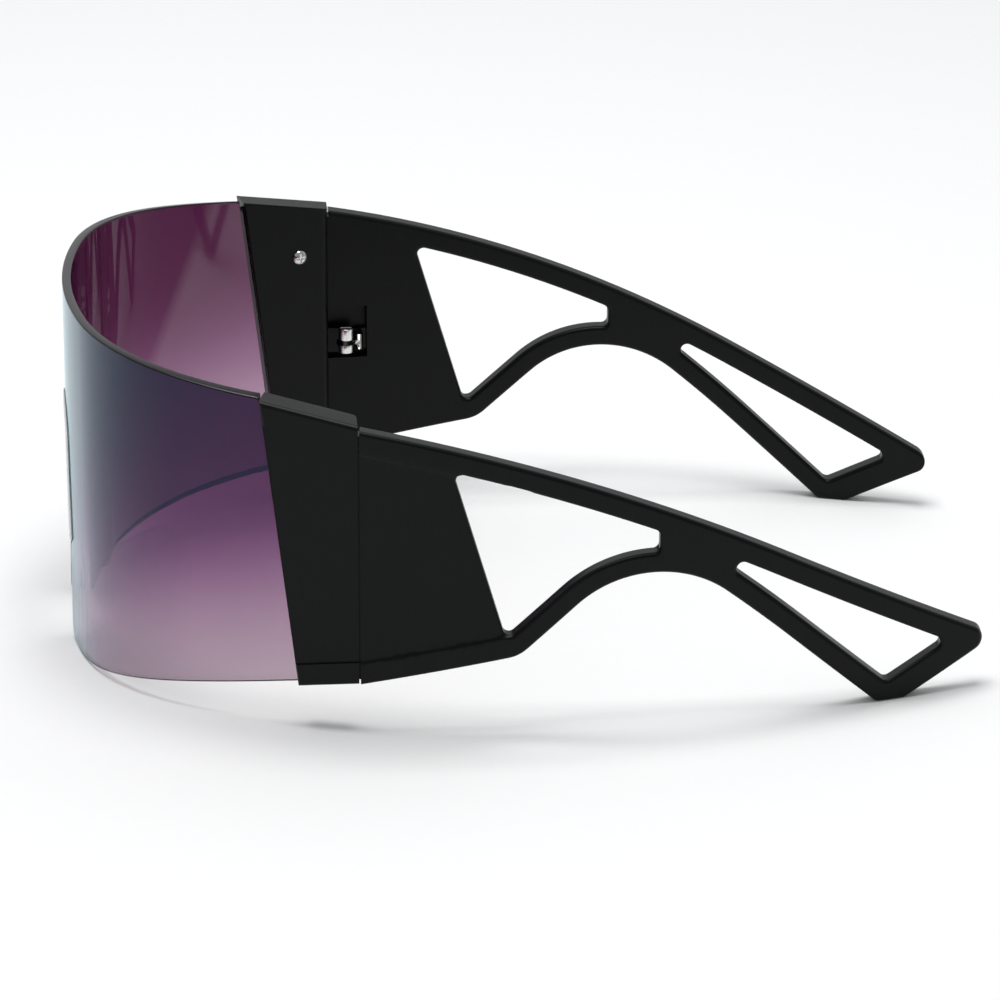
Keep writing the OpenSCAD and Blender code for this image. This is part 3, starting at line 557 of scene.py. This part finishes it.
def saddle_mesh():
    """Corners in metres, faces, and 1 for each face of the front lip. Its feet sink into the lens."""
    verts, faces, lips = [], [], []
    edge = cut_edge()
    for x, z, normal in edge:
        held = max(0.0, min(1.0, (z - lip_foot_z) / lip_fade))
        held = held * held * (3 - 2 * held)
        lip = [(lip_play[0] + (over - lip_play[0]) * held if over > 0 else over,
                lip_play[1] + (depth - lip_play[1]) * held) for over, depth in front_lip]
        verts += [tuple(c * mm for c in saddle_point(x, z, normal, over, depth))
                  for over, depth in lip + web_and_rear]
    n = len(front_lip) + len(web_and_rear)
    for c in range(len(edge) - 1):
        for k in range(n):
            j = (k + 1) % n
            faces.append((c * n + k, c * n + j, (c + 1) * n + j, (c + 1) * n + k))
            lips.append(1 if k < len(front_lip) else 0)
    last = (len(edge) - 1) * n
    faces += [tuple(reversed(range(n))), tuple(range(last, last + n))]
    for side in (1, -1):
        add_pad(verts, faces, side)
    return verts, faces, lips + [0] * (len(faces) - len(lips))


def silicone(name, clearness):
    """Pale silicone, slightly cloudy, with a soft sheen. The lip in front is rubbed dull."""
    finish, add, link, shader = new_finish(name, {"IOR": silicone_ior, "Transmission Weight": clearness})
    handle(add, link, shader, silicone_marks, silicone_clean, silicone_marked, silicone_roughness)
    return finish


verts, faces, lips = saddle_mesh()
saddle = new_piece("nose_saddle", verts, faces,
                   silicone("clear_silicone", clear), silicone("rubbed_silicone", rubbed))
saddle.data.polygons.foreach_set("material_index", lips)
trimmed = bmesh.new()
trimmed.from_mesh(saddle.data)
bmesh.ops.delete(trimmed, geom=[v for v in trimmed.verts if not v.link_faces], context="VERTS")
bmesh.ops.recalc_face_normals(trimmed, faces=trimmed.faces)
trimmed.to_mesh(saddle.data)
trimmed.free()
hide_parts("nose_piece")
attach(saddle, "front")


# ---- End pieces ----
# Two thick black blocks, injection moulded with a fine matt grain, that hold the ends of the
# lens. The middle of each outer face is sunk between two raised rails.
black_clean, black_marked = (0.0020, 0.0024, 0.0026), (0.0065, 0.0070, 0.0074)
black_gloss, black_marks, block_roughness = 0.14, (90, 1200), (0.3, 0.5)
grain_scale, grain_detail, grain_strength, grain_depth = 9000, 2, 0.25, 0.02
block_edge, sharp_angle, weld_gap = 0.3, math.radians(40), 0.002

# The grain of a spark-eroded mould
moulded_grain, add, link, inside, outside = new_group(
    "moulded_grain", ("Scale",), {"Height": "NodeSocketFloat"})
place = add("ShaderNodeTexCoord")
grain = add("ShaderNodeTexNoise", {"Detail": grain_detail})
link(place.outputs["Object"], grain.inputs["Vector"])
link(inside.outputs["Scale"], grain.inputs["Scale"])
link(grain.outputs["Fac"], outside.inputs["Height"])


def roughen(add, link, shader, texture, scale, strength, depth):
    """Raises the heights that a texture group gives on a finish."""
    heights = add("ShaderNodeGroup", {"Scale": scale}, node_tree=texture)
    bump = add("ShaderNodeBump", {"Strength": strength, "Distance": depth * mm})
    link(heights.outputs["Height"], bump.inputs["Height"])
    link(bump.outputs[0], shader.inputs["Normal"])


def moulded_black(name, roughness):
    """Black moulded plastic: a fine grain, and an uneven sheen from handling."""
    finish, add, link, shader = new_finish(name, {"Specular IOR Level": black_gloss})
    handle(add, link, shader, black_marks, black_clean, black_marked, roughness)
    roughen(add, link, shader, moulded_grain, grain_scale, grain_strength, grain_depth)
    return finish


def dress(node_name, finish, round_by):
    """Gives a CAD node its finish, and breaks its sharp edges by round_by millimetres."""
    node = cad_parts[node_name]
    for material_slot in node.material_slots:
        material_slot.material = finish
    if not node.material_slots:
        node.data.materials.append(finish)
    joined = node.modifiers.new("joined", "WELD")
    joined.merge_threshold = weld_gap * mm
    broken = node.modifiers.new("broken_edges", "BEVEL")
    broken.width = round_by * mm
    broken.segments = 2
    broken.limit_method = "ANGLE"
    broken.angle_limit = sharp_angle
    even = node.modifiers.new("even_shading", "WEIGHTED_NORMAL")
    even.weight = 90


block_finish = moulded_black("moulded_black_blocks", block_roughness)
for side in ("left", "right"):
    dress(side + "_end_piece", block_finish, block_edge)


# ---- Brass inserts ----
# Two turned brass sleeves, pressed into the outer wall of each end piece for the lens screws.
brass_grimy, brass_bright, brass_roughness = (0.30, 0.21, 0.09), (0.78, 0.58, 0.27), (0.2, 0.5)
metal_marks = (700, 4000)
line_scale, line_detail, line_stretch = 2500, 3, (1, 0.12, 1)
line_strength, line_depth = 0.2, 0.01
small_edge = 0.05

# The fine lines that polishing and turning leave on metal
polishing_lines, add, link, inside, outside = new_group(
    "polishing_lines", ("Scale",), {"Height": "NodeSocketFloat"})
place = add("ShaderNodeTexCoord")
stretch = add("ShaderNodeMapping", {"Scale": line_stretch})
lines = add("ShaderNodeTexNoise", {"Detail": line_detail})
link(place.outputs["Object"], stretch.inputs["Vector"])
link(stretch.outputs[0], lines.inputs["Vector"])
link(inside.outputs["Scale"], lines.inputs["Scale"])
link(lines.outputs["Fac"], outside.inputs["Height"])


def worn_metal(name, grimy, bright, roughness):
    """Bare metal: fine polishing lines, and grime in soft patches."""
    finish, add, link, shader = new_finish(name, {"Metallic": 1})
    handle(add, link, shader, metal_marks, bright, grimy, roughness)
    roughen(add, link, shader, polishing_lines, line_scale, line_strength, line_depth)
    return finish, add, link, shader


brass_finish = worn_metal("turned_brass", brass_grimy, brass_bright, brass_roughness)[0]
for side in ("left", "right"):
    dress(side + "_screw_inserts", brass_finish, small_edge)


# ---- Lens screws ----
# Small pan-head screws of bright plated steel with a cross recess, driven from the inner face
# through the tab of the lens into the brass inserts.
plating_grimy, plating_bright, plating_roughness = (0.28, 0.28, 0.28), (0.86, 0.86, 0.85), (0.12, 0.4)

screw_finish = worn_metal("plated_steel", plating_grimy, plating_bright, plating_roughness)[0]
for side in ("left", "right"):
    dress(side + "_lens_screws", screw_finish, small_edge)


# ---- Hinges ----
# A stamped leaf with two rolled barrels on the end piece, a leaf with one tongue on the temple,
# and a small screw as the pivot. Barrels and tongue are bright steel. The sunk plates are painted
# nearly black, as painted shade for the shadow deep in the hinge pocket.
steel_grimy, steel_bright, steel_roughness = (0.30, 0.29, 0.27), (0.90, 0.89, 0.86), (0.16, 0.42)
# Painted shade: the nearly black colour of the sunk plates stands in for the shadow in the hinge pocket
plate_shade_colour = (0.012, 0.012, 0.013)
bright_within, shade_fade = 66.35, 0.15
front_bright_from, tongue_until = -50.0, -30.6
leaf_edge = 0.12

# Painted shade: 1 on the sunk plates, further out than bright_within and in front of Bright From, where the
# pocket's shadow falls
painted_plate_shade, add, link, inside, outside = new_group(
    "painted_plate_shade", ("Bright From",), {"Mask": "NodeSocketFloat"})
place = add("ShaderNodeTexCoord")
apart = add("ShaderNodeSeparateXYZ")
outward = add("ShaderNodeMath", operation="ABSOLUTE")
outside_plate = add("ShaderNodeMapRange", {"From Min": (bright_within - shade_fade) * mm,
                                           "From Max": (bright_within + shade_fade) * mm})
front_plate = add("ShaderNodeMapRange")
both = add("ShaderNodeMath", operation="MAXIMUM")
link(place.outputs["Object"], apart.inputs[0])
link(apart.outputs["X"], outward.inputs[0])
link(outward.outputs[0], outside_plate.inputs["Value"])
link(apart.outputs["Y"], front_plate.inputs["Value"])
for end, way in (("From Min", 1), ("From Max", -1)):
    shifted = add("ShaderNodeMath", {1: way * shade_fade * mm}, operation="ADD")
    link(inside.outputs["Bright From"], shifted.inputs[0])
    link(shifted.outputs[0], front_plate.inputs[end])
link(outside_plate.outputs[0], both.inputs[0])
link(front_plate.outputs[0], both.inputs[1])
link(both.outputs[0], outside.inputs["Mask"])


def leaf_steel(name, bright_from):
    """Bright steel where the hinge turns. On the plates a nearly black colour is painted shade for the shadow
    in the hinge pocket.
    """
    finish, add, link, shader = worn_metal(name, steel_grimy, steel_bright, steel_roughness)
    plates = add("ShaderNodeGroup", {"Bright From": bright_from * mm}, node_tree=painted_plate_shade)
    # Painted shade: the plates turn nearly black by the mask
    shaded_plates = add("ShaderNodeMix", {"B": (*plate_shade_colour, 1)}, data_type="RGBA")
    link(plates.outputs["Mask"], shaded_plates.inputs["Factor"])
    link(shader.inputs["Base Color"].links[0].from_socket, shaded_plates.inputs["A"])
    link(shaded_plates.outputs["Result"], shader.inputs["Base Color"])
    return finish


front_leaf_finish = leaf_steel("front_leaf_steel", front_bright_from)
temple_leaf_finish = leaf_steel("temple_leaf_steel", tongue_until)
for side in ("left", "right"):
    dress(side + "_front_hinge_leaf", front_leaf_finish, leaf_edge)
    dress(side + "_temple_hinge_leaf", temple_leaf_finish, leaf_edge)
    dress(side + "_hinge_screw", screw_finish, small_edge)


# ---- Temples ----
# Each arm is one black moulding: a plain plate behind the seam, a slim top rail and a lower rail
# that arches up to it, and a slanted bar that closes the rear window. All bars have soft edges.
# Its side view is drawn as y behind the seam and z over the table, and then bent to its plan.
arm_thick, edge_soft, edge_steps = 4.2, 0.9, 5
arm_plan_radius, arm_plan_x, arm_plan_y = 300.0, -227.42, 28.75
arm_start_angle = math.radians(5.5)
arm_roughness = (0.28, 0.46)
rail_wide, top_higher, top_thinner, end_bar_wide = 4.5, 0.3, 0.12, 5.8
window_corner_r, heel_r, tip_r, square_r = 1.4, 1.9, 2.85, 0.001
front_window_end = 63.0
plate_rear = [(17.9, 64.4), (31.8, 16.9)]
panel_sink, sink_margin, sink_slope, sink_until = 0.5, 0.1, 0.7, 36
seam_y = seam_from_front + lens_front_y
seam_half_gap = -0.14
# The middle lines of the bars from the seam back: their start, their arcs as radius, degrees and
# steps, and their straight runs. The lower rail has a knee, a rise, an arch and a long diagonal.
lead = 6.0
top_start = (0.0, 65.4, math.radians(-11.2))
top_arc, top_tail = (322.0, -17.0, 24), 50.0
low_start = (0.0, 13.3, math.radians(10.4))
plate_run, knee_arc, rise_run = 31.2, (6.0, 31.8, 6), 14.2
arch_arc, diagonal_arc, diagonal_tail = (26.6, -81.1, 36), (300.0, -3.5, 6), 40.0
heel_y, end_bar_angle, end_bar_ahead, end_bar_behind = 116.434, math.radians(28.44), 12, 30
outline_stretch, front_stretch, rear_stretch = 2.2, 1.6, 2.0
grid_y, grid_z, grid_low, grid_clear = 3.0, 2.6, 0.7, 1.1
grid_columns, grid_rows = range(-2, 47), range(28)
slope_stretch, slope_until = 1.2, 34
sliver, same_point, on_plane_m = 0.004, 1e-5, 1e-7
line_corner_limit, loop_corner_limit = 0.3, 0.4
# Blocks cut out of the start of an arm: across from its outer face, behind the seam and in height.
# The pocket of the hinge comes first, then the three sides of the groove round the seam.
groove_rear = 0.15
cuts = [((-8.0, -2.0), (-1.2, 8.3), (32.933, 45.133)), ((-1.0, 2.0), (-1.2, groove_rear), (4.0, 75.0)),
        ((-8.0, 2.0), (-1.2, groove_rear), (66.7, 75.0)), ((-8.0, 2.0), (-1.2, groove_rear), (4.0, 12.1))]


def moved(s, run):
    """A place of a middle line, each y, z and heading, moved straight ahead."""
    return (s[0] + run * math.cos(s[2]), s[1] + run * math.sin(s[2]), s[2])


def turned(s, radius, angle):
    """The same, moved along an arc that turns by an angle."""
    return (s[0] + radius * (math.sin(s[2] + angle) - math.sin(s[2])),
            s[1] - radius * (math.cos(s[2] + angle) - math.cos(s[2])), s[2] + angle)


def bend(s, radius, degrees, count):
    angle = math.radians(degrees)
    return [turned(s, math.copysign(radius, angle), angle * k / count) for k in range(1, count + 1)]


def edge_of(states, off):
    """The side of a bar, off to the left of its middle line."""
    return [(y - off * math.sin(a), z + off * math.cos(a)) for y, z, a in states]


def stepped_left(before, here, after, off, limit):
    """A corner of a line moved to the left of both its stretches. The higher the limit, the less a
    sharp corner runs out."""
    first, second = (here - before).normalized(), (after - here).normalized()
    share = max(limit, math.sqrt(max(0.0, (1 + first.dot(second)) / 2)))
    run = (first + second).normalized()
    return (here.x - run.y * off / share, here.y + run.x * off / share)


def beside(line, off):
    """A line moved to its left."""
    points = [Vector(p) for p in line]
    shifted = [stepped_left(a, here, b, off, line_corner_limit)
               for a, here, b in zip(points, points[1:], points[2:])]
    start, end = (points[1] - points[0]).normalized(), (points[-1] - points[-2]).normalized()
    return ([(line[0][0] - start.y * off, line[0][1] + start.x * off)] + shifted
            + [(line[-1][0] - end.y * off, line[-1][1] + end.x * off)])


def beside_loop(loop, off):
    """A closed outline moved to its left."""
    points = [Vector(p) for p in loop]
    around = zip(points[-1:] + points, points, points[1:] + points)
    return [stepped_left(a, here, b, off, loop_corner_limit) for a, here, b in around]


def crossing(first, second, near):
    """Where two lines cross, closest to y = near."""
    found = [intersect_line_line_2d(a, b, c, d)
             for a, b in zip(first, first[1:]) for c, d in zip(second, second[1:])]
    return min((p for p in found if p), key=lambda p: abs(p[0] - near))


def foot(a, b, p):
    """The place of a stretch from a to b that is closest to p."""
    run = Vector(b) - Vector(a)
    t = (p - Vector(a)).dot(run) / max(run.length_squared, 1e-12)
    return Vector(a) + run * max(0.0, min(1.0, t))


def nearest(line, p):
    """The place of a line that is closest to p, with the index of the corner that follows it."""
    best = None
    for i in range(len(line) - 1):
        q = foot(line[i], line[i + 1], p)
        if best is None or (q - p).length < best[0] - 1e-9:
            best = ((q - p).length, q, i + 1)
    return best[1], best[2]


def rounded_loop(edges, corners):
    """A closed outline from edge lines that run anticlockwise. Corner k lies between edge k and the
    next one, and says its radius and roughly where along y it is."""
    least, arc_step = 0.05, math.radians(11)
    meets = []
    for k, (radius, near) in enumerate(corners):
        here, following = edges[k], edges[(k + 1) % len(edges)]
        centre = Vector(crossing(beside(here, radius), beside(following, radius), near))
        end, end_index = nearest(here, centre)
        start, start_index = nearest(following, centre)
        a0 = math.atan2(end.y - centre.y, end.x - centre.x)
        a1 = math.atan2(start.y - centre.y, start.x - centre.x)
        while a1 < a0:
            a1 += 2 * math.pi
        count = max(1, round((a1 - a0) / arc_step))
        arc = [(centre.x + radius * math.cos(a0 + (a1 - a0) * t / count),
                centre.y + radius * math.sin(a0 + (a1 - a0) * t / count)) for t in range(count + 1)]
        meets.append((end_index, arc if radius > square_r else [tuple(centre)], start_index))
    loop = []
    for k, edge in enumerate(edges):
        loop += edge[meets[k - 1][2]:meets[k][0]] + meets[k][1]
    spaced = [loop[0]]
    for p in loop[1:]:
        if math.dist(p, spaced[-1]) > least:
            spaced.append(p)
    if math.dist(spaced[0], spaced[-1]) < least:
        spaced.pop()
    return spaced


def cut_up(a, b, longest):
    """A stretch from a to b as even steps, without b."""
    count = max(1, math.ceil(math.dist(a, b) / longest))
    return [(a[0] + (b[0] - a[0]) * k / count, a[1] + (b[1] - a[1]) * k / count) for k in range(count)]


top_line = [moved(top_start, -lead), top_start] + bend(top_start, *top_arc)
top_line.append(moved(top_line[-1], top_tail))
low_line = [moved(low_start, -lead), low_start, moved(low_start, plate_run)]
low_line += bend(low_line[-1], *knee_arc)
low_line.append(moved(low_line[-1], rise_run))
low_line += bend(low_line[-1], *arch_arc)
low_line += bend(low_line[-1], *diagonal_arc)
low_line.append(moved(low_line[-1], diagonal_tail))
heel = (heel_y - end_bar_wide / 2 * math.sin(end_bar_angle), end_bar_wide / 2 * math.cos(end_bar_angle),
        end_bar_angle)
end_bar = [moved(heel, -end_bar_ahead), moved(heel, end_bar_behind)]

top_over = list(reversed(edge_of(top_line, rail_wide / 2 + top_higher)))
top_under = edge_of(top_line, -rail_wide / 2 + top_thinner)
low_over, low_under = edge_of(low_line, rail_wide / 2), edge_of(low_line, -rail_wide / 2)
bar_over, bar_under = edge_of(end_bar, end_bar_wide / 2), edge_of(end_bar, -end_bar_wide / 2)
plate_top_edge, plate_low_edge = top_under[:8], low_over[:12]  # as far as the plain plate
table_line, start_line = [(100, 0), (130, 0)], [(-4, 90), (-4, -20)]
window_end_line = [(front_window_end, -10), (front_window_end, 90)]

arm_outline = rounded_loop(
    [low_under, table_line, bar_under, top_over, start_line],
    [(heel_r, 110), (heel_r, 117), (tip_r, 131), (square_r, -4), (square_r, -4)])
front_window = rounded_loop(
    [low_over, window_end_line, list(reversed(top_under)), plate_rear],
    [(window_corner_r, y) for y in (63, 63, 20, 31)])
rear_window = rounded_loop(
    [low_over, bar_over, list(reversed(top_under))], [(window_corner_r, y) for y in (112, 123, 82)])


def line_gap(line, p):
    """Distance of p to the left of a line."""
    best = None
    for a, b in zip(line, line[1:]):
        gap = (foot(a, b, p) - p).length
        if best is None or gap < abs(best):
            best = math.copysign(gap, (Vector(b) - Vector(a)).cross(p - Vector(a)))
    return best


def plate_sink(y, z):
    """How far the plain plate lies below the rails at a place."""
    if y > sink_until:
        return 0.0
    p = Vector((y, z))
    within = min(line_gap(plate_low_edge, p), -line_gap(plate_top_edge, p)) - sink_margin
    t = max(0.0, min(1.0, within / sink_slope))
    return panel_sink * t * t * (3 - 2 * t)


def arm_x(y, depth):
    """How far out the arm lies at y and at a depth below its outer face."""
    return arm_plan_x + math.sqrt((arm_plan_radius - depth) ** 2 - (y - arm_plan_y) ** 2)


def inside_loop(loop, y, z):
    odd = False
    for i, (y1, z1) in enumerate(loop):
        y0, z0 = loop[i - 1]
        if (z1 > z) != (z0 > z) and y < (y0 - y1) * (z - z1) / (z0 - z1) + y1:
            odd = not odd
    return odd


def on_arm(loops, y, z):
    """True inside the first outline and outside the windows."""
    return inside_loop(loops[0], y, z) and not any(inside_loop(window, y, z) for window in loops[1:])


def arm_mesh():
    """The left arm: soft edges swept round its outline and windows, two sides, and a start cut square."""
    loops = [sum((cut_up(a, b, longest) for a, b in zip(loop, loop[1:] + loop[:1])), [])
             for loop, longest in ((arm_outline, outline_stretch), (front_window, front_stretch),
                                   (rear_window, rear_stretch))]
    bow = [math.radians(90 * k / edge_steps) for k in range(edge_steps + 1)]
    levels = [(edge_soft * (1 - math.cos(a)), edge_soft * (1 - math.sin(a)), True) for a in bow]
    levels += [(arm_thick - d, off, False) for d, off, _ in reversed(levels)]
    bm = bmesh.new()

    def corner(y, z, depth, outer):
        sunk = plate_sink(y, z) if outer else 0.0
        return bm.verts.new((arm_x(y, depth + sunk) * mm, (seam_y + y) * mm, z * mm))

    for loop, inward in zip(loops, (1, -1, -1)):
        previous = None
        for depth, off, outer in levels:
            ring = [corner(y, z, depth, outer) for y, z in beside_loop(loop, inward * off)]
            if previous:
                for i in range(len(ring)):
                    j = (i + 1) % len(ring)
                    bm.faces.new((previous[i], previous[j], ring[j], ring[i]))
            previous = ring
    flat = [beside_loop(loop, inward * edge_soft) for loop, inward in zip(loops, (1, -1, -1))]
    for outer, depth in ((True, 0.0), (False, arm_thick)):
        points, edges = [], []
        for loop in flat:
            start = len(points)
            points += loop
            edges += [(start + i, start + (i + 1) % len(loop)) for i in range(len(loop))]
        grid = [(grid_y * i + (grid_y / 2 if j % 2 else 0), grid_z * j + grid_low)
                for i in grid_columns for j in grid_rows]
        added = [(y, z) for y, z in grid
                 if on_arm(flat, y, z) and min(math.dist((y, z), q) for q in points) > grid_clear]
        if outer:
            for line, side in ((top_under, -1), (low_over, 1)):
                for off in (sink_margin, sink_margin + sink_slope / 2, sink_margin + sink_slope):
                    added += [(y, z) for y, z in slope_points(line, side * off) if on_arm(flat[:2], y, z)]
        made = delaunay_2d_cdt([Vector(p) for p in points + added], edges, [], 0, same_point)
        corners = [corner(p.x, p.y, depth, outer) for p in made[0]]
        for tri in made[2]:
            a, b, c = (made[0][i] for i in tri)
            middle = (a + b + c) / 3
            if abs((b - a).cross(c - a)) >= sliver and on_arm(flat, middle.x, middle.y):
                bm.faces.new([corners[i] for i in tri])
    bmesh.ops.remove_doubles(bm, verts=bm.verts, dist=weld_gap * mm)
    bmesh.ops.delete(bm, geom=[v for v in bm.verts if not v.link_faces], context="VERTS")
    bmesh.ops.recalc_face_normals(bm, faces=bm.faces)
    bmesh.ops.bisect_plane(bm, geom=bm.verts[:] + bm.edges[:] + bm.faces[:], dist=on_plane_m,
                           plane_co=(0, (seam_y + seam_half_gap) * mm, 0), plane_no=(0, -1, 0),
                           clear_outer=True)
    bmesh.ops.holes_fill(bm, edges=[e for e in bm.edges if e.is_boundary], sides=0)
    bmesh.ops.recalc_face_normals(bm, faces=bm.faces)
    return bm


def slope_points(line, off):
    """Points along a rail's edge moved to its left, as far as the sunk plate reaches."""
    shifted = beside(line, off)
    return [p for a, b in zip(shifted, shifted[1:]) for p in cut_up(a, b, slope_stretch)
            if p[0] < slope_until]


def cutter(sign, across, behind, high):
    """A closed block set against the start of an arm."""
    turn = arm_start_angle
    verts = [(sign * (seam_half_width + x * math.cos(turn) + y * math.sin(turn)) * mm,
              (seam_y - x * math.sin(turn) + y * math.cos(turn)) * mm, z * mm)
             for x in across for y in behind for z in high]
    faces = [(0, 1, 3, 2), (4, 6, 7, 5), (0, 4, 5, 1), (2, 3, 7, 6), (0, 2, 6, 4), (1, 5, 7, 3)]
    return verts, faces if sign > 0 else [tuple(reversed(f)) for f in faces]


def carve(piece, verts, faces):
    """Cuts a closed block out of a piece."""
    block = new_piece("block", verts, faces)
    cut = piece.modifiers.new("carve", "BOOLEAN")
    cut.operation = "DIFFERENCE"
    cut.solver = "EXACT"
    cut.object = block
    carved = bpy.data.meshes.new_from_object(piece.evaluated_get(bpy.context.evaluated_depsgraph_get()))
    piece.modifiers.remove(cut)
    piece.data = carved
    bpy.data.objects.remove(block)


arm_finish = moulded_black("moulded_black_arms", arm_roughness)
arm_bm = arm_mesh()
for side, sign in (("left", 1), ("right", -1)):
    mesh = bpy.data.meshes.new(side + "_arm")
    arm_bm.to_mesh(mesh)
    for v in mesh.vertices:
        v.co.x *= sign
    if sign < 0:
        mesh.flip_normals()
    mesh.materials.append(arm_finish)
    mesh.polygons.foreach_set("use_smooth", [True] * len(mesh.polygons))
    arm = bpy.data.objects.new(side + "_arm", mesh)
    scene.collection.objects.link(arm)
    for block in cuts:
        carve(arm, *cutter(sign, *block))
    arm.data.set_sharp_from_angle(angle=sharp_angle)
    even = arm.modifiers.new("even_shading", "WEIGHTED_NORMAL")
    even.weight = 80
    even.keep_sharp = True
    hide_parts(side + "_temple")
    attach(arm, side + "_arm")
arm_bm.free()
